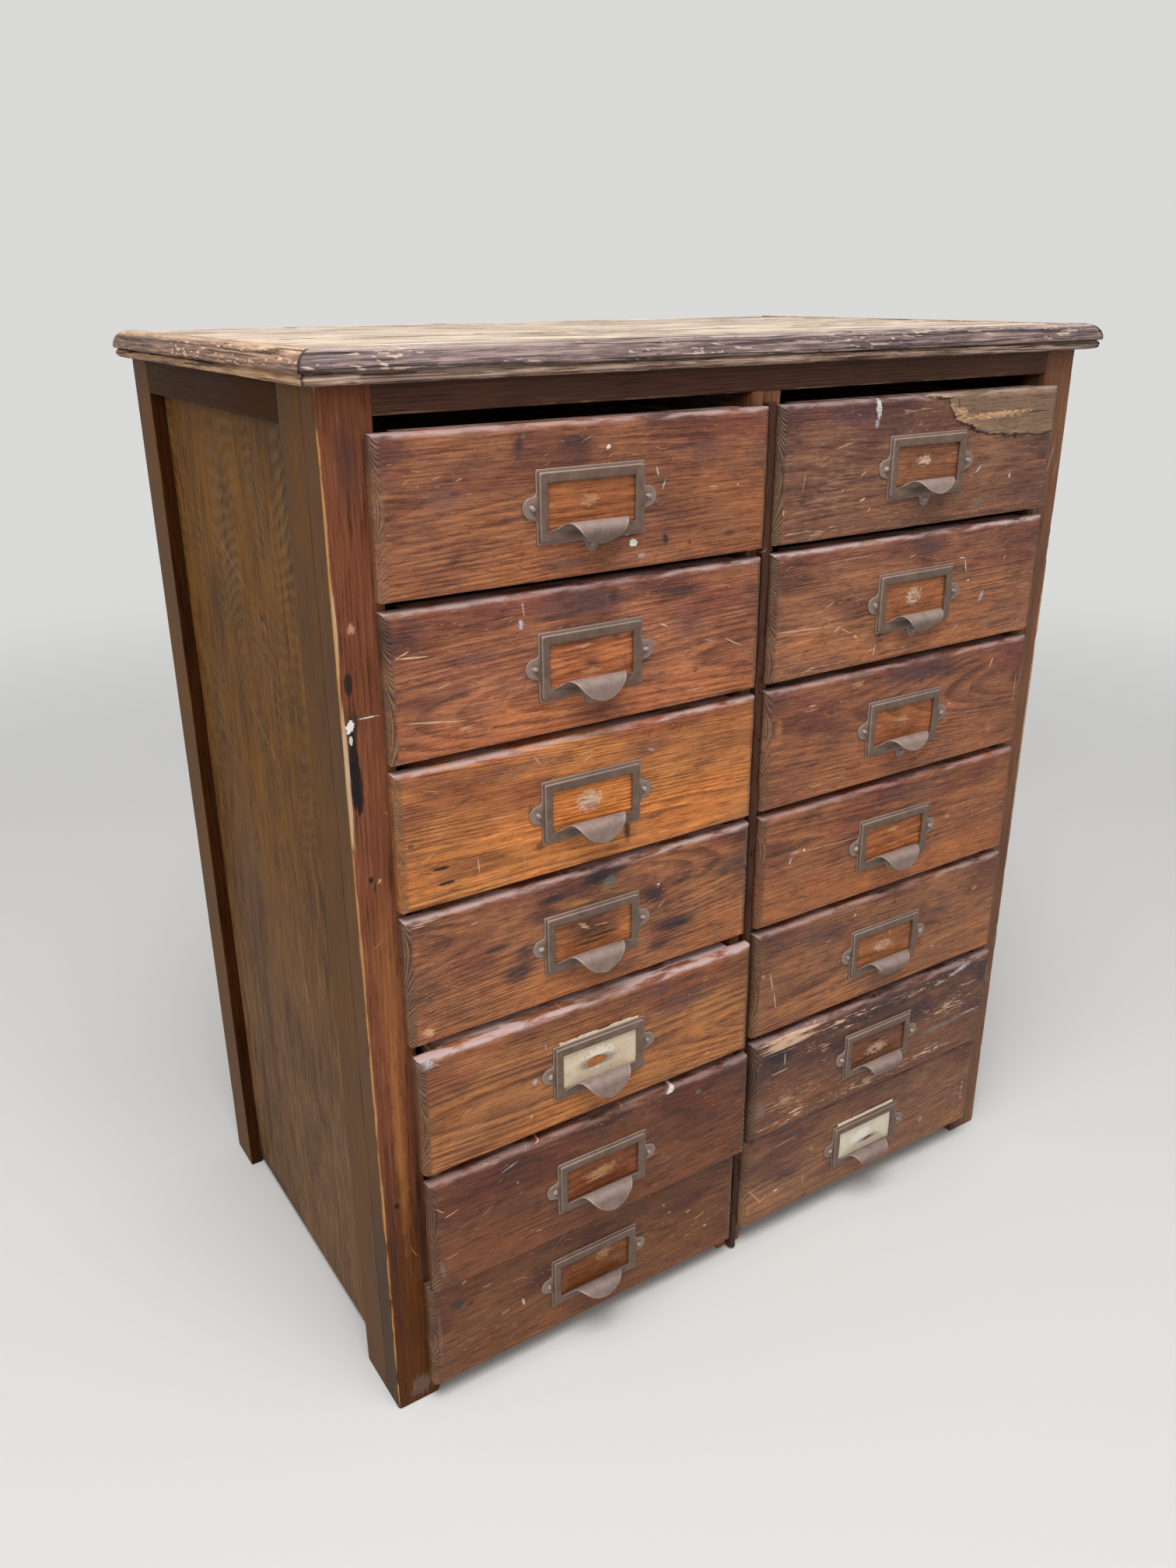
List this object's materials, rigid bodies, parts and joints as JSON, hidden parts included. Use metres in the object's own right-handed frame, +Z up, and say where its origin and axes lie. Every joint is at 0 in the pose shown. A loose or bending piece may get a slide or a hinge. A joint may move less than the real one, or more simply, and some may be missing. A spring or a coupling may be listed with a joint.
{
  "type": "drawer unit",
  "caption": "Floor-standing wooden drawer unit with two columns of shallow lipped drawers, a moulded overhanging top and metal card-frame pulls.",
  "frame": {"origin": "centre of the floor area covered by the whole chest with its pulls, at floor level", "axes": "+X to the right seen from the front, +Y to the back, +Z up"},
  "size_m": [0.76, 0.4764, 0.872],
  "materials": {
    "stained_wood": "dark brown stain, worn and scratched",
    "weathered_wood": "grey-brown, weathered and bare at the edges",
    "plywood": "dark stained plywood, scuffed",
    "bare_wood": "bare softwood, darkened with age",
    "drawer_wood": "bare softwood and thin plywood",
    "pull_metal": "brown patina, rubbed edges",
    "card": "dirty cream card"
  },
  "bodies": {
    "case": {"top_board": "weathered_wood", "top_moulding_front": "weathered_wood", "top_moulding_left": "weathered_wood", "top_moulding_right": "weathered_wood", "face_stile_left": "stained_wood", "face_stile_right": "stained_wood", "top_rail": "stained_wood", "centre_post": "stained_wood", "centre_strip": "stained_wood", "side_frame_left": "stained_wood", "side_frame_right": "stained_wood", "side_panels": "plywood", "back_boards": "bare_wood", "centre_partition": "bare_wood", "drawer_runners": "bare_wood", "cross_rails": "bare_wood"},
    "drawer_L1": {"drawer_L1_front": "stained_wood", "drawer_L1_box": "drawer_wood", "drawer_L1_pull": "pull_metal"},
    "drawer_L2": {"drawer_L2_front": "stained_wood", "drawer_L2_box": "drawer_wood", "drawer_L2_pull": "pull_metal"},
    "drawer_L3": {"drawer_L3_front": "stained_wood", "drawer_L3_box": "drawer_wood", "drawer_L3_pull": "pull_metal"},
    "drawer_L4": {"drawer_L4_front": "stained_wood", "drawer_L4_box": "drawer_wood", "drawer_L4_pull": "pull_metal"},
    "drawer_L5": {"drawer_L5_front": "stained_wood", "drawer_L5_box": "drawer_wood", "drawer_L5_pull": "pull_metal", "card_L5": "card"},
    "drawer_L6": {"drawer_L6_front": "stained_wood", "drawer_L6_box": "drawer_wood", "drawer_L6_pull": "pull_metal"},
    "drawer_L7": {"drawer_L7_front": "stained_wood", "drawer_L7_box": "drawer_wood", "drawer_L7_pull": "pull_metal"},
    "drawer_R1": {"drawer_R1_front": "stained_wood", "drawer_R1_box": "drawer_wood", "drawer_R1_pull": "pull_metal"},
    "drawer_R2": {"drawer_R2_front": "stained_wood", "drawer_R2_box": "drawer_wood", "drawer_R2_pull": "pull_metal"},
    "drawer_R3": {"drawer_R3_front": "stained_wood", "drawer_R3_box": "drawer_wood", "drawer_R3_pull": "pull_metal"},
    "drawer_R4": {"drawer_R4_front": "stained_wood", "drawer_R4_box": "drawer_wood", "drawer_R4_pull": "pull_metal"},
    "drawer_R5": {"drawer_R5_front": "stained_wood", "drawer_R5_box": "drawer_wood", "drawer_R5_pull": "pull_metal"},
    "drawer_R6": {"drawer_R6_front": "stained_wood", "drawer_R6_box": "drawer_wood", "drawer_R6_pull": "pull_metal"},
    "drawer_R7": {"drawer_R7_front": "stained_wood", "drawer_R7_box": "drawer_wood", "drawer_R7_pull": "pull_metal", "card_R7": "card"}
  },
  "joints": [
    {"name": "drawer_L1_slide", "type": "slide", "parent": "case", "child": "drawer_L1", "axis": [0, -1, 0], "range_m": [-0.002, 0.3]},
    {"name": "drawer_L2_slide", "type": "slide", "parent": "case", "child": "drawer_L2", "axis": [0, -1, 0], "range_m": [-0.0007, 0.3]},
    {"name": "drawer_L3_slide", "type": "slide", "parent": "case", "child": "drawer_L3", "axis": [0, -1, 0], "range_m": [-0.0009, 0.3]},
    {"name": "drawer_L4_slide", "type": "slide", "parent": "case", "child": "drawer_L4", "axis": [0, -1, 0], "range_m": [-0.0009, 0.3]},
    {"name": "drawer_L5_slide", "type": "slide", "parent": "case", "child": "drawer_L5", "axis": [0, -1, 0], "range_m": [-0.0105, 0.3]},
    {"name": "drawer_L6_slide", "type": "slide", "parent": "case", "child": "drawer_L6", "axis": [0, -1, 0], "range_m": [-0.0145, 0.3]},
    {"name": "drawer_L7_slide", "type": "slide", "parent": "case", "child": "drawer_L7", "axis": [0, -1, 0], "range_m": [-0.0007, 0.3]},
    {"name": "drawer_R1_slide", "type": "slide", "parent": "case", "child": "drawer_R1", "axis": [0, -1, 0], "range_m": [-0.0007, 0.3]},
    {"name": "drawer_R2_slide", "type": "slide", "parent": "case", "child": "drawer_R2", "axis": [0, -1, 0], "range_m": [-0.0007, 0.3]},
    {"name": "drawer_R3_slide", "type": "slide", "parent": "case", "child": "drawer_R3", "axis": [0, -1, 0], "range_m": [-0.0007, 0.3]},
    {"name": "drawer_R4_slide", "type": "slide", "parent": "case", "child": "drawer_R4", "axis": [0, -1, 0], "range_m": [-0.0018, 0.3]},
    {"name": "drawer_R5_slide", "type": "slide", "parent": "case", "child": "drawer_R5", "axis": [0, -1, 0], "range_m": [-0.0032, 0.3]},
    {"name": "drawer_R6_slide", "type": "slide", "parent": "case", "child": "drawer_R6", "axis": [0, -1, 0], "range_m": [-0.007, 0.3]},
    {"name": "drawer_R7_slide", "type": "slide", "parent": "case", "child": "drawer_R7", "axis": [0, -1, 0], "range_m": [-0.0007, 0.3]}
  ]
}
